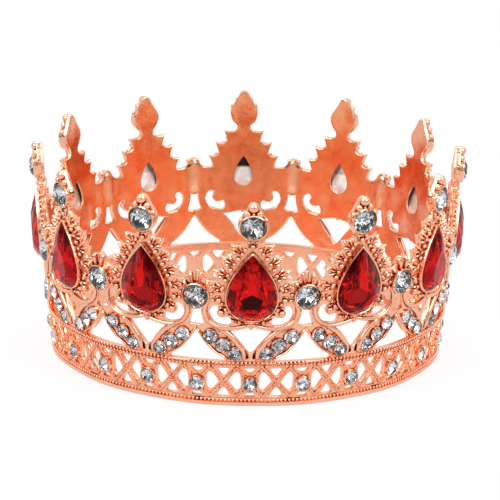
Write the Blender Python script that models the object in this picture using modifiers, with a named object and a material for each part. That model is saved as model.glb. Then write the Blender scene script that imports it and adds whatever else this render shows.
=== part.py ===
"""A full round crown of rose gold coloured metal.

A pierced band in four soldered quarters carries twelve crest castings.  Each crest holds a large pear
stone, a round stone in its finial and a round stone in the valley to its right.  The front is at -Y.

The metal is drawn flat as a strip and then rolled.  On the strip X runs along the wall, Z is the height
and -Y points out of the crown.  All sizes are in metres.
"""

import math

import bmesh
import bpy
from mathutils import Matrix, Vector

# The crown as a whole
CRESTS = 12
QUARTERS = 4
BASE_RADIUS = 0.05475  # outer face of the wall at the table
FLARE = 0.09  # the wall leans out by this much radius for each unit of height
STRIP_RADIUS = 0.057  # radius at which lengths on the strip are true
WALL = 0.0015
GAP = 0.0003  # clearance between neighbouring pieces

CREST_PITCH = 2 * math.pi * STRIP_RADIUS / CRESTS
BEND_STEP = CREST_PITCH / 4

# The band
LOWER_RAIL = (0.0, 0.0027)
UPPER_RAIL = (0.01105, 0.0130)
RAIL_PROUD = 0.0007
LATTICE_THICKNESS = 0.0013
LATTICE_SINK = 0.0006  # how far the lattice runs into each rail
STRAND_WIDTH = 0.0013
CELL = CREST_PITCH / 4  # from one strand crossing to the next
BAND_STONE_RADIUS = 0.0023
BAND_STONE_HEIGHT = 0.0063
BAND_STONE_DEPTHS = (-0.0006, 0.0009)

# The crest
CREST_PROUD = 0.0002
CREST_FOOT = UPPER_RAIL[1] + GAP
CREST_TOP = 0.0592
SEAM = CREST_PITCH / 2 - GAP / 2
LEAF_FOOT = Vector((0.0003, 0.0126))
LEAF_TIP = Vector((0.0149, 0.0232))
LEAF_STONES = (0.0048, 0.0090, 0.0133)  # distances from the foot along the leaf
LEAF_STONE_RADIUS = 0.00185
LEAF_STONE_DEPTHS = (-0.0005, 0.0012)

# The pear stone
PEAR_WIDTH = 0.0132
PEAR_LENGTH = 0.0192
PEAR_HEIGHT = 0.0351  # height of its centre above the table
PEAR_GIRDLE = 0.0014  # how far its widest line stands out of the wall
PEAR_TABLE = 0.0034
BEZEL_RIM = 0.0016
PEAR_POINTS = 14
WINDOW_WIDTH = 0.0062
WINDOW_LENGTH = 0.0096
TEARDROP_WIDEST = 0.7698  # largest value of sin(a) * sin(a / 2)

# The round stones
ROUND_RADIUS = 0.00315
ROUND_FACETS = 8
CUP_WALL = 0.00045
CUP_RIM = 0.0013
FINIAL_HEIGHT = 0.0522
VALLEY_HEIGHT = 0.0320
FINIAL_TABLE = 0.0024
VALLEY_TABLE = 0.0020

# Right half of the crest plate, from the foot on the band up to the finial's tip
CREST_OUTLINE = [
    (0.0000, CREST_FOOT),
    (0.0069, CREST_FOOT),
    (0.0075, 0.0143),
    (0.0104, 0.0162),
    (0.0129, 0.0189),
    (SEAM, 0.0219),
    (SEAM, 0.0234),
    (0.0124, 0.0235),
    (0.0133, 0.0258),
    (0.0135, 0.0282),
    (SEAM, 0.0294),
    (SEAM, 0.0355),
    (0.0108, 0.0355),
    (0.0090, 0.0367),
    (0.0101, 0.0392),
    (0.0073, 0.0403),
    (0.0081, 0.0431),
    (0.0048, 0.0439),
    (0.0055, 0.0467),
    (0.0023, 0.0465),
    (0.0026, 0.0490),
    (0.0037, 0.0508),
    (0.0040, 0.0528),
    (0.0031, 0.0550),
    (0.0020, 0.0568),
    (0.0013, 0.0583),
    (0.0000, CREST_TOP),
]

# Right half of the shield shaped opening between the scrolls and the two leaves
SHIELD_OUTLINE = [
    (0.0000, 0.0229),
    (0.0032, 0.0225),
    (0.0060, 0.0220),
    (0.0043, 0.0198),
    (0.0018, 0.0171),
    (0.0006, 0.0157),
    (0.0000, 0.0157),
]

# The opening that the right hand scroll curls around
SCROLL_OPENING = [
    (0.0089, 0.0290),
    (0.0104, 0.0291),
    (0.0116, 0.0272),
    (0.0109, 0.0251),
    (0.0092, 0.0238),
    (0.0062, 0.0234),
    (0.0054, 0.0246),
    (0.0063, 0.0261),
    (0.0085, 0.0259),
    (0.0093, 0.0270),
]

# Right half of the small fan above the valley stone, measured from the stone's centre
FAN_OUTLINE = [
    (0.0028, 0.0036),
    (0.0016, 0.0063),
    (0.0000, 0.0073),
]


def clear_scene():
    for item in list(bpy.data.objects):
        bpy.data.objects.remove(item)


def new_collection(name):
    collection = bpy.data.collections.new(name)
    bpy.context.scene.collection.children.link(collection)
    return collection


def new_material(name, colour, metallic, roughness):
    material = bpy.data.materials.new(name)
    material.use_nodes = True
    shader = material.node_tree.nodes["Principled BSDF"]
    shader.inputs["Base Color"].default_value = (*colour, 1.0)
    shader.inputs["Metallic"].default_value = metallic
    shader.inputs["Roughness"].default_value = roughness
    return material


def link(name, mesh, collection):
    item = bpy.data.objects.new(name, mesh)
    collection.objects.link(item)
    return item


def mesh_of(item):
    """The object's evaluated shape as a plain mesh, in place and welded; the object is removed."""
    bpy.context.view_layer.update()
    graph = bpy.context.evaluated_depsgraph_get()
    mesh = bpy.data.meshes.new_from_object(item.evaluated_get(graph))
    mesh.transform(item.matrix_world)
    weld(mesh)
    bpy.data.objects.remove(item)
    return mesh


def weld(mesh):
    work = bmesh.new()
    work.from_mesh(mesh)
    bmesh.ops.remove_doubles(work, verts=work.verts, dist=0.000002)
    bmesh.ops.recalc_face_normals(work, faces=work.faces)
    work.to_mesh(mesh)
    work.free()


def merge_flat_faces(mesh):
    """Joins neighbouring faces that lie in one plane, and drops the points no longer needed."""
    work = bmesh.new()
    work.from_mesh(mesh)
    bmesh.ops.dissolve_limit(work, angle_limit=math.radians(0.5), verts=work.verts, edges=work.edges)
    work.to_mesh(mesh)
    work.free()


def flat_solid(name, outlines, inner, outer, collection):
    """Closed outlines of (along, height), filled and made solid from depth inner to depth outer."""
    curve = bpy.data.curves.new(name, "CURVE")
    curve.dimensions = "2D"
    curve.fill_mode = "BOTH"
    curve.extrude = (outer - inner) / 2
    for outline in outlines:
        spline = curve.splines.new("POLY")
        spline.points.add(len(outline) - 1)
        for point, (along, height) in zip(spline.points, outline):
            point.co = (along, height, 0.0, 1.0)
        spline.use_cyclic_u = True
    item = link(name, curve, collection)
    item.matrix_world = Matrix.Translation((0, -(inner + outer) / 2, 0)) @ Matrix.Rotation(math.pi / 2, 4, "X")
    return link(name, mesh_of(item), collection)


def box(name, along, height, depth, collection):
    """A block between two values along, of height and of depth out of the wall."""
    bpy.ops.mesh.primitive_cube_add(size=1.0)
    item = bpy.context.object
    item.name = name
    item.scale = (along[1] - along[0], depth[1] - depth[0], height[1] - height[0])
    item.location = ((along[0] + along[1]) / 2, -(depth[0] + depth[1]) / 2, (height[0] + height[1]) / 2)
    return link(name, mesh_of(item), collection)


def stone_dome(name, along, height, radius, depths, collection):
    """A small cut stone as a low faceted cone, pointing out of the flat strip."""
    bpy.ops.mesh.primitive_cone_add(
        vertices=6, radius1=radius, radius2=radius * 0.5, depth=depths[1] - depths[0]
    )
    item = bpy.context.object
    item.name = name
    item.location = (along, -(depths[0] + depths[1]) / 2, height)
    item.rotation_euler = (math.pi / 2, 0, 0)
    return link(name, mesh_of(item), collection)


def combined(item, others, operation):
    """The item with each of the others joined to it, or cut out of it."""
    for other in others:
        modifier = item.modifiers.new(other.name, "BOOLEAN")
        modifier.operation = operation
        modifier.solver = "EXACT"
        modifier.object = other
    collection = item.users_collection[0]
    name = item.name
    mesh = mesh_of(item)
    merge_flat_faces(mesh)
    for other in others:
        bpy.data.objects.remove(other)
    return link(name, mesh, collection)


def mirrored(half):
    """A closed outline from its right half, which starts and ends on the centre line."""
    return half + [(-along, height) for along, height in reversed(half[1:-1])]


def placed(outline, along, height):
    """An outline moved to a place on the strip."""
    return [(along + x, height + z) for x, z in outline]


def circle(radius, points=ROUND_FACETS):
    turn = 2 * math.pi / points
    return [(radius * math.cos(turn * i), radius * math.sin(turn * i)) for i in range(points)]


def teardrop(width, length, points=PEAR_POINTS):
    """A pear outline about its centre, with the point upwards."""
    outline = []
    for i in range(points):
        angle = 2 * math.pi * i / points
        half = abs(math.sin(angle / 2))
        along = width / 2 / TEARDROP_WIDEST * math.sin(angle) * half
        outline.append((along, length / 2 * math.cos(angle)))
    return outline


def wall_radius(height):
    return BASE_RADIUS + FLARE * height


def slice_along(mesh, low, high):
    """Cuts the strip's faces at regular steps along it, so that it can be rolled."""
    work = bmesh.new()
    work.from_mesh(mesh)
    for step in range(math.ceil(low / BEND_STEP), math.floor(high / BEND_STEP) + 1):
        everything = work.verts[:] + work.edges[:] + work.faces[:]
        bmesh.ops.bisect_plane(
            work, geom=everything, dist=0.000001, plane_co=(step * BEND_STEP, 0, 0), plane_no=(1, 0, 0)
        )
    bmesh.ops.triangulate(work, faces=work.faces)
    work.to_mesh(mesh)
    work.free()


def trim_ends(mesh, low, high):
    """Cuts the strip square at both ends and closes the cuts."""
    work = bmesh.new()
    work.from_mesh(mesh)
    for place, normal in ((low, -1), (high, 1)):
        everything = work.verts[:] + work.edges[:] + work.faces[:]
        cut = bmesh.ops.bisect_plane(
            work, geom=everything, dist=0.000001, plane_co=(place, 0, 0), plane_no=(normal, 0, 0), clear_outer=True
        )
        rim = [piece for piece in cut["geom_cut"] if isinstance(piece, bmesh.types.BMEdge)]
        bmesh.ops.edgenet_fill(work, edges=rim)
    bmesh.ops.recalc_face_normals(work, faces=work.faces)
    work.to_mesh(mesh)
    work.free()


def roll(mesh):
    """Rolls the flat strip into the flaring wall."""
    for vertex in mesh.vertices:
        angle = vertex.co.x / STRIP_RADIUS
        radius = wall_radius(vertex.co.z) - vertex.co.y
        vertex.co = (radius * math.sin(angle), -radius * math.cos(angle), vertex.co.z)


def on_wall(along, height):
    """The frame of a setting on the wall: X along it, -Y out of it and Z up its slope."""
    lean = Matrix.Rotation(math.atan(FLARE), 4, "X")
    turn = Matrix.Rotation(along / STRIP_RADIUS, 4, "Z")
    return turn @ Matrix.Translation((0, -wall_radius(height), height)) @ lean


def leaf_point(distance, side=1):
    """A point on a leaf's middle line, on the strip."""
    direction = (LEAF_TIP - LEAF_FOOT).normalized()
    point = LEAF_FOOT + direction * distance
    return side * point.x, point.y


def valley_outline(grow=0.0):
    """The valley setting with its fan, about the valley stone's centre."""
    radius = ROUND_RADIUS + GAP + CUP_WALL + grow
    arc = [
        (radius * math.sin(math.radians(a)), radius * math.cos(math.radians(a)))
        for a in range(60, 181, 30)
    ]
    fan = [(along + grow * min(1, along * 1000), height + grow) for along, height in FAN_OUTLINE]
    return mirrored(list(reversed(arc)) + fan)


def crest_mesh(workshop):
    """One crest casting, centred on the front of the crown."""
    plate_depths = (-WALL, CREST_PROUD)
    window = placed(teardrop(WINDOW_WIDTH, WINDOW_LENGTH, 10), 0, PEAR_HEIGHT)
    left_opening = [(-along, height) for along, height in reversed(SCROLL_OPENING)]
    crest = flat_solid(
        "crest",
        [mirrored(CREST_OUTLINE), mirrored(SHIELD_OUTLINE), SCROLL_OPENING, left_opening, window],
        *plate_depths,
        workshop,
    )

    neighbour = placed(valley_outline(GAP), -CREST_PITCH / 2, VALLEY_HEIGHT)
    notch = flat_solid("notch", [neighbour], -2 * WALL, 2 * WALL, workshop)
    crest = combined(crest, [notch], "DIFFERENCE")

    valley = placed(valley_outline(), CREST_PITCH / 2, VALLEY_HEIGHT)
    boss = flat_solid("boss", [valley], -WALL * 0.9, CREST_PROUD * 2, workshop)
    stones = [
        stone_dome("leaf_stone", *leaf_point(distance, side), LEAF_STONE_RADIUS, LEAF_STONE_DEPTHS, workshop)
        for distance in LEAF_STONES
        for side in (-1, 1)
    ]
    bezel = flat_solid(
        "bezel",
        [
            placed(teardrop(PEAR_WIDTH + 0.0018, PEAR_LENGTH + 0.0026), 0, PEAR_HEIGHT),
            placed(teardrop(PEAR_WIDTH + 2 * GAP, PEAR_LENGTH + 3 * GAP), 0, PEAR_HEIGHT),
        ],
        -WALL / 2,
        BEZEL_RIM,
        workshop,
    )
    cups = [
        flat_solid(
            "cup",
            [placed(circle(ROUND_RADIUS + GAP + wall), along, height) for wall in (CUP_WALL, 0)],
            -WALL / 2,
            CUP_RIM,
            workshop,
        )
        for along, height in ((0, FINIAL_HEIGHT), (CREST_PITCH / 2, VALLEY_HEIGHT))
    ]
    crest = combined(crest, [boss, *stones, bezel, *cups], "UNION")
    slice_along(crest.data, -CREST_PITCH, CREST_PITCH)
    roll(crest.data)
    return mesh_of(crest)


def lattice_outlines(low, high):
    """The lattice strip as its border and its openings, which run a little way behind the rails.

    Strands cross at every whole number of cells.
    """
    bottom = LOWER_RAIL[1] - LATTICE_SINK / 2
    top = UPPER_RAIL[0] + LATTICE_SINK / 2
    middle = (bottom + top) / 2
    rise = (top - bottom) / 2
    slope = math.atan2(rise, CELL / 2)
    level = STRAND_WIDTH / 2 / math.sin(slope)  # half a strand, measured along the strip
    upright = STRAND_WIDTH / 2 / math.cos(slope)
    reach = (rise - upright) / math.tan(slope)
    border = [
        (low * CELL, bottom - LATTICE_SINK / 2),
        (high * CELL, bottom - LATTICE_SINK / 2),
        (high * CELL, top + LATTICE_SINK / 2),
        (low * CELL, top + LATTICE_SINK / 2),
    ]
    openings = []
    for cell in range(low, high):
        start = cell * CELL
        half = start + CELL / 2
        openings.append(
            [
                (start + level, middle),
                (half, middle + rise - upright),
                (start + CELL - level, middle),
                (half, middle - rise + upright),
            ]
        )
    for cell in range(low + 1, high):
        for way in (-1, 1):
            openings.append(
                [
                    (cell * CELL, middle + way * upright),
                    (cell * CELL - reach, middle + way * rise),
                    (cell * CELL + reach, middle + way * rise),
                ]
            )
    return [border, *openings]


def band_quarter_mesh(workshop):
    """A quarter of the band.  Its ends fall on plain crossings, half a crest pitch off the centre line."""
    cells = 4 * CRESTS // QUARTERS
    low, high = -cells // 2 - 1, cells // 2 - 1
    length = ((low - 1) * CELL, (high + 1) * CELL)
    lattice = flat_solid("band", lattice_outlines(low - 1, high + 1), -LATTICE_THICKNESS, 0, workshop)
    rails = [
        box("rail", length, heights, (-WALL, RAIL_PROUD), workshop) for heights in (LOWER_RAIL, UPPER_RAIL)
    ]
    places = [cell * CELL for cell in range(low, high + 1) if cell % 2 == 0]
    stones = [
        stone_dome("band_stone", along, BAND_STONE_HEIGHT, BAND_STONE_RADIUS, BAND_STONE_DEPTHS, workshop)
        for along in places
    ]
    band = combined(lattice, rails + stones, "UNION")
    trim_ends(band.data, low * CELL + GAP / 2, high * CELL - GAP / 2)
    slice_along(band.data, low * CELL, high * CELL)
    roll(band.data)
    return mesh_of(band)


def pear_stone_mesh():
    """A pear cut: a flat table, two rows of crown facets, and a back that reaches into the window."""
    depths_and_sizes = [
        (PEAR_TABLE, 0.50),
        (PEAR_GIRDLE, 1.0),
        (PEAR_GIRDLE - 0.0003, 1.0),
        (-0.0002, 0.14),
    ]
    work = bmesh.new()
    rows = []
    for depth, size in depths_and_sizes:
        outline = teardrop(PEAR_WIDTH * size, PEAR_LENGTH * size)
        rows.append([work.verts.new((along, -depth, height)) for along, height in outline])
    for upper, lower in zip(rows, rows[1:]):
        for i in range(len(upper)):
            after = (i + 1) % len(upper)
            work.faces.new((upper[i], upper[after], lower[after], lower[i]))
    work.faces.new(rows[0])
    work.faces.new(rows[-1])
    bmesh.ops.recalc_face_normals(work, faces=work.faces)
    mesh = bpy.data.meshes.new("pear_stone")
    work.to_mesh(mesh)
    work.free()
    mesh.transform(on_wall(0, PEAR_HEIGHT))
    return mesh


def round_stone_mesh(table, along, height, workshop):
    """A round cut, turned from its profile and left faceted."""
    girdle = CUP_RIM + 0.0001
    profile = [
        (0.0, table),
        (ROUND_RADIUS * 0.55, table),
        (ROUND_RADIUS, girdle),
        (ROUND_RADIUS, girdle - 0.0003),
        (ROUND_RADIUS * 0.45, 0.0007),
        (0.0, 0.0007),
    ]
    mesh = bpy.data.meshes.new("round_stone")
    points = [(radius, 0.0, depth) for radius, depth in profile]
    mesh.from_pydata(points, [(i, i + 1) for i in range(len(points) - 1)], [])
    item = link("round_stone", mesh, workshop)
    screw = item.modifiers.new("turn", "SCREW")
    screw.steps = screw.render_steps = ROUND_FACETS
    screw.use_merge_vertices = True
    screw.merge_threshold = 0.000001
    item.matrix_world = on_wall(along, height) @ Matrix.Rotation(math.pi / 2, 4, "X")
    return mesh_of(item)


def place_around(name, mesh, material, count, parent, collection):
    """Equal copies of a piece around the crown, numbered from the front towards +X."""
    mesh.materials.clear()
    mesh.materials.append(material)
    for i in range(count):
        number = f"{i + 1:02d}" if count > 9 else str(i + 1)
        item = link(f"{name}_{number}", mesh, collection)
        item.rotation_euler = (0, 0, 2 * math.pi * i / count)
        item.parent = parent


def main():
    clear_scene()
    crown = new_collection("crown")
    workshop = new_collection("cutters")
    rose_gold = new_material("rose_gold", (0.90, 0.52, 0.36), 1.0, 0.22)
    red_glass = new_material("red_glass", (0.62, 0.01, 0.02), 0.0, 0.05)
    clear_glass = new_material("clear_glass", (0.86, 0.88, 0.90), 0.0, 0.05)

    axis = bpy.data.objects.new("crown_axis", None)
    crown.objects.link(axis)

    crest = crest_mesh(workshop)
    crest.set_sharp_from_angle(angle=math.radians(30))
    band = band_quarter_mesh(workshop)
    pear = pear_stone_mesh()
    finial = round_stone_mesh(FINIAL_TABLE, 0, FINIAL_HEIGHT, workshop)
    valley = round_stone_mesh(VALLEY_TABLE, CREST_PITCH / 2, VALLEY_HEIGHT, workshop)

    place_around("band_quarter", band, rose_gold, QUARTERS, axis, crown)
    place_around("crest", crest, rose_gold, CRESTS, axis, crown)
    place_around("pear_stone", pear, red_glass, CRESTS, axis, crown)
    place_around("finial_stone", finial, clear_glass, CRESTS, axis, crown)
    place_around("valley_stone", valley, clear_glass, CRESTS, axis, crown)


main()
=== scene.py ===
"""The looks of the crown: rose gold castings, red pear stones and round clear stones, on a pale floor.

The metal is drawn flat as a strip, in millimetres, and then rolled into the crown's flaring wall.  On the
strip u runs along the wall to the right, z is the height above the table and t stands out of the wall.
"""

import contextlib
import math
import random

import bmesh
import bpy
from mathutils import Matrix, Vector
from mathutils.bvhtree import BVHTree


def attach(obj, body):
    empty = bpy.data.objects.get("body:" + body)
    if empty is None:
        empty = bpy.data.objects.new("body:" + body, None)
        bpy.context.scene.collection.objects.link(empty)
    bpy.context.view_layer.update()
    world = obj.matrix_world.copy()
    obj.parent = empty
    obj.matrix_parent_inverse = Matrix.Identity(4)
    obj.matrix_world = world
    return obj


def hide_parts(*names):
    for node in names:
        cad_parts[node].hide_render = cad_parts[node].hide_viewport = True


bl_info = {
    "name": "Crown",
    "version": (1, 0, 0),
    "blender": (4, 5, 0),
    "location": "3D View > Sidebar > Crown",
    "description": "Builds the metal, the stones and the stage of a rose gold crown",
    "category": "Add Mesh",
}

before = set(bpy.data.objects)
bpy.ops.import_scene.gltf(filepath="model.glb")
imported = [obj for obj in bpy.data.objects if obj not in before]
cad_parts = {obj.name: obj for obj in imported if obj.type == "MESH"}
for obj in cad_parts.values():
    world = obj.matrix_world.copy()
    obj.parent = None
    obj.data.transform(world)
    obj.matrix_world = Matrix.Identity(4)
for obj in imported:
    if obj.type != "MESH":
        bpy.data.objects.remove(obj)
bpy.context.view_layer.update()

MM = 0.001
CRESTS = 12
QUARTERS = 4
QUARTER_STONES = 6
STRIP_RADIUS = 57.0
BASE_RADIUS = 54.75
FLARE = 0.09
PITCH = 2 * math.pi * STRIP_RADIUS / CRESTS
CELL = PITCH / 4
TEARDROP_WIDEST = 0.7698  # largest value of sin(a) * sin(a / 2)
MERGE = 0.000001  # points closer than this, in metres, are one
SHARP_EDGE = 38  # degrees

# How the recesses are found, for the metal's painted shade: how far and how many ways each point looks out, and
# the turn between the ways
RECESS_REACH = 0.0016
LOOKS_OUT = 12
GOLDEN_ANGLE = 2.39996

# Depths and heights on the strip, the leaf stones' places, and how finely the plates are cut for rolling
WALL_BACK = -1.5
PLATE_FACE = 0.15
PEAR_HEIGHT = 35.1
FINIAL_HEIGHT = 52.2
VALLEY_HEIGHT = 32.0
BAND_STONE_HEIGHT = 6.3
LATTICE_HEIGHT = 6.95
LEAF_STONES = ((4.2, 15.4), (7.6, 17.9), (11.05, 20.4))
CREST_GRID = (0.5, 0.55)
BAND_GRID = (0.7, 0.9)

# Width and length of the pear's seat, of the ledge and window behind it, and of its setting; its bezel's section
PEAR_SEAT = (9.4, 13.6)
PEAR_LEDGE = (10.8, 15.0)
PEAR_WINDOW = (5.7, 9.0)
PEAR_SETTING = (13.4, 19.3)
BEZEL = ((0.0, -0.5), (0.0, 1.15), (0.14, 1.5), (-0.08, 1.66), (-0.3, 1.5), (-0.42, 1.0), (-0.55, -0.2))

# Round seats and settings: radii, bottoms of the pockets, and rim, wall and depth of the cups
LARGE_SEAT = 3.25
SMALL_SEAT = 1.9
BAND_SEAT = 2.35
LARGE_SETTING = 3.3
SMALL_SETTING = 1.97
DRILL_TOP = 5.0
STONE_POCKET = -1.1
BAND_POCKET = -1.0
HOLLOW_BOTTOM = -1.35
LARGE_CUP = (1.34, 0.5)
LEAF_CUP = (0.8, 0.16)
BAND_CUP = (0.85, 0.42, -1.1)

# The fold inside each valley: from and to, how far it swells, and how sharply the metal changes at its edge to
# the fold's painted highlight and rougher polish
FOLD_HEIGHTS = (28.9, 38.9)
FOLD_SWELL = 0.46
FOLD_EDGE = 2.0

# Right half of the crest plate, from its foot on the band to the finial's tip
PLATE_OUTLINE = (
    (0.0, 13.0), (6.8, 13.0), (7.4, 14.2), (9.0, 15.2), (10.6, 16.4), (12.0, 17.9), (13.1, 19.4),
    (14.1, 20.9), (PITCH / 2, 21.9), (PITCH / 2, 23.4), (13.9, 23.4), (12.8, 23.7), (13.2, 24.9),
    (13.6, 26.6), (13.8, 28.3), (PITCH / 2, 29.0), (PITCH / 2, 39.2), (14.2, 39.1), (13.6, 38.6),
    (13.2, 37.8), (12.8, 37.0), (12.2, 36.5), (11.2, 36.3), (10.2, 36.2), (9.5, 36.3), (9.2, 36.8),
    (9.6, 38.2), (10.4, 39.7), (9.2, 39.6), (8.0, 39.9), (7.3, 40.5), (7.7, 41.9), (8.4, 43.8), (7.0, 43.3),
    (5.8, 43.5), (4.9, 44.2), (5.1, 45.4), (5.8, 47.1), (4.6, 46.9), (3.3, 46.9), (2.4, 47.2), (2.0, 47.8),
    (1.9, 48.4), (2.1, 49.1), (2.7, 50.0), (3.5, 51.2), (3.95, 52.2), (4.0, 53.2), (3.7, 54.2), (3.0, 55.2),
    (2.4, 56.2), (1.8, 57.2), (1.4, 58.1), (0.9, 58.75), (0.4, 59.05), (0.0, 59.1),
)

# Right half of the shield shaped opening between the scrolls and the leaves
SHIELD_OUTLINE = (
    (0.0, 23.2), (1.2, 23.0), (3.2, 22.6), (5.9, 22.1), (5.0, 20.8), (3.9, 19.5), (2.8, 18.3), (1.8, 17.1),
    (1.0, 16.0), (0.5, 15.6), (0.0, 15.5),
)

# The opening that the right hand scroll curls around
SCROLL_OPENING = (
    (8.8, 28.6), (9.3, 29.2), (10.2, 29.2), (11.1, 28.3), (11.5, 27.0), (11.2, 25.8), (10.5, 24.7),
    (9.4, 23.9), (7.9, 23.5), (6.3, 23.4), (5.5, 24.0), (5.5, 25.2), (6.1, 26.2), (7.0, 25.9), (8.3, 25.8),
    (9.1, 26.5), (9.3, 27.4), (8.8, 28.0),
)

# Middle line of the right hand scroll's raised ribbon, from the cusp to the valley cup
SCROLL_RIBBON = (
    (0.0, 24.0), (1.6, 23.5), (4.0, 22.95), (6.6, 22.75), (9.0, 23.2), (11.0, 24.3), (12.2, 26.0),
    (12.6, 27.9), (12.2, 29.6), (11.0, 30.9),
)

# Middle lines of the right hand leaf's two rims, from its foot to its tip
LEAF_UPPER_RIM = (
    (1.8, 13.4), (1.95, 15.0), (2.65, 16.8), (3.7, 18.5), (5.3, 20.3), (7.2, 21.9), (9.6, 23.0),
)
LEAF_LOWER_RIM = (
    (5.9, 13.4), (7.6, 14.7), (9.6, 15.9), (11.3, 17.5), (12.8, 19.4), (14.0, 21.3), (14.85, 22.7),
)

# The hollow between the right hand leaf's foot and the stem, dark from its depth and from the metal's painted
# recess shade
FOOT_HOLLOW = (
    (1.45, 16.5), (1.85, 17.0), (2.2, 16.6), (1.95, 15.4), (1.45, 14.2), (0.9, 13.75), (0.45, 14.2),
    (0.65, 15.3),
)

# Teeth of the right hand serration: root beside the setting, and tip
TEETH = (
    ((2.7, 44.5), (5.3, 46.7)), ((4.75, 41.5), (7.8, 43.0)), ((6.5, 38.2), (9.9, 39.3)),
    ((7.7, 34.6), (10.6, 34.9)),
)

# Single ribs of the right hand side: foot, tip and width
CREST_RIBS = (
    ((8.0, 33.2), (10.3, 33.7), 0.9), ((8.1, 32.2), (9.9, 31.6), 0.8), ((7.2, 29.2), (9.0, 28.4), 0.9),
    ((6.4, 27.3), (5.4, 25.6), 0.9), ((4.5, 25.7), (3.7, 24.2), 0.8), ((2.6, 24.9), (2.2, 24.0), 0.7),
    ((0.75, 46.0), (1.5, 49.0), 0.85),
)

# Beads of the right hand side: place, height of the middle out of the wall, radius
CREST_BEADS = (
    ((2.0, 45.7), 0.45, 0.55), ((3.75, 43.1), 0.55, 0.66), ((5.75, 39.9), 0.55, 0.66),
    ((7.15, 36.8), 0.55, 0.64), ((8.0, 34.2), 0.50, 0.60), ((8.8, 30.9), 0.50, 0.80),
    ((10.4, 30.9), 0.40, 0.55), ((10.7, 32.6), 0.40, 0.5), ((10.8, 34.6), 0.40, 0.5),
    ((7.9, 29.9), 0.40, 0.55), ((6.9, 28.3), 0.45, 0.62), ((8.2, 27.2), 0.40, 1.0),
    ((5.6, 26.4), 0.45, 0.55), ((5.0, 25.0), 0.40, 0.5), ((3.2, 24.8), 0.40, 0.5),
    ((1.5, 24.6), 0.40, 0.45), ((1.6, 56.0), 0.4, 1.0), ((3.15, 54.3), 0.3, 0.7), ((1.0, 48.0), 0.45, 0.5),
)
MIDDLE_BEADS = (
    ((0.0, 57.7), 0.25, 1.4), ((0.0, 56.0), 0.55, 0.5), ((0.0, 46.7), 0.5, 0.7), ((0.0, 22.9), -0.3, 0.62),
)

# Holes of the band for one stone: right of it, over it, under it, and over and under the next crossing
KITE_HOLE = (
    (2.7, 8.7), (3.2, 9.6), (3.9, 9.8), (4.7, 9.1), (5.6, 7.9), (6.1, 7.0), (5.7, 6.3), (4.7, 5.1),
    (3.9, 4.4), (3.2, 4.5), (2.7, 5.3), (2.6, 7.0),
)
OVER_STONE_HOLE = (
    (-1.6, 10.8), (0, 10.95), (1.6, 10.8), (1.2, 10.1), (0.5, 9.6), (-0.5, 9.6), (-1.2, 10.1),
)
UNDER_STONE_HOLE = ((-1.5, 2.75), (0, 2.65), (1.5, 2.75), (1.2, 3.3), (0.5, 3.8), (-0.5, 3.8), (-1.2, 3.3))
OVER_CROSSING_HOLE = (
    (-1.7, 10.8), (0, 10.95), (1.7, 10.8), (1.2, 9.8), (0.4, 8.7), (-0.4, 8.7), (-1.2, 9.8),
)
UNDER_CROSSING_HOLE = (
    (-1.7, 2.75), (0, 2.6), (1.7, 2.75), (1.2, 4.0), (0.4, 5.1), (-0.4, 5.1), (-1.2, 4.0),
)

# Wires of the right hand side: middle line, width, height and the share that tapers at each end
CREST_WIRES = (
    (SCROLL_RIBBON, 1.25, 0.9, 0.12),
    (LEAF_UPPER_RIM, 1.65, 0.9, 0.2),
    (LEAF_LOWER_RIM, 0.75, 0.8, 0.12),
)

# Fingers of a tooth: turn, share of its length, width and height; its ball: height and radius
TOOTH_FINGERS = ((-0.55, 0.78, 1.1, 0.95), (0.0, 1.04, 1.15, 1.15), (0.55, 0.78, 1.1, 0.95))
TOOTH_BALL = (0.4, 0.55)

# Ribs of the fan over a valley stone: turn in degrees and reach; their width, foot and height
FAN_RIBS = ((-40, 5.4), (-13, 7.0), (13, 7.0), (40, 5.4))
FAN_RIB_SIZE = (1.45, 0.0, 1.5)

# Sections of the two rails: height and distance out of the wall
LOWER_RAIL = (
    (0.15, WALL_BACK), (0.0, -1.3), (0.0, 0.3), (0.2, 0.55), (0.65, 0.65), (1.05, 0.58), (1.25, 0.35),
    (1.35, 0.08), (2.1, 0.08), (2.4, -0.05), (2.45, -1.2), (2.2, WALL_BACK),
)
UPPER_RAIL = (
    (11.1, -1.2), (11.1, -0.02), (11.25, 0.1), (12.4, 0.1), (12.5, 0.42), (12.75, 0.58), (13.0, 0.45),
    (13.1, 0.1), (13.1, -1.3), (12.9, WALL_BACK), (11.3, WALL_BACK),
)
RAIL_BEADS = ((1.68, 0.16), (11.72, 0.16), (12.72, 0.42))

# The left end of a quarter's lattice, and its bars: rise, overlap at a crossing, and the grains along them
LATTICE_END = (
    (0.0, 0.8), (0.0, 2.6), (1.7, 2.75), (1.2, 4.0), (0.4, 5.1), (0.0, 5.2), (0.0, 8.6), (0.4, 8.7),
    (1.2, 9.8), (1.7, 10.8), (0.0, 10.95), (0.0, 12.6),
)
BAR_RISE = 4.2
BAR_OVERLAP = 0.12
GRAIN_ASIDE = 0.24
GRAIN_FACE = 0.12
GRAIN_SPACING = 0.00078

# Cut of the stones: shares of the outline, height of the girdle's edge, and the pear's eye, foot and heights
TABLE_SHARE = 0.56
LOWER_SHARE = 0.62
GIRDLE = 0.18
PEAR_EYE = (0, -4.6)
PEAR_FOOT = (3.35, 2.4)
PEAR_DEPTHS = (3.4, 2.6, 1.45, 0.1, -0.8)
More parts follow.
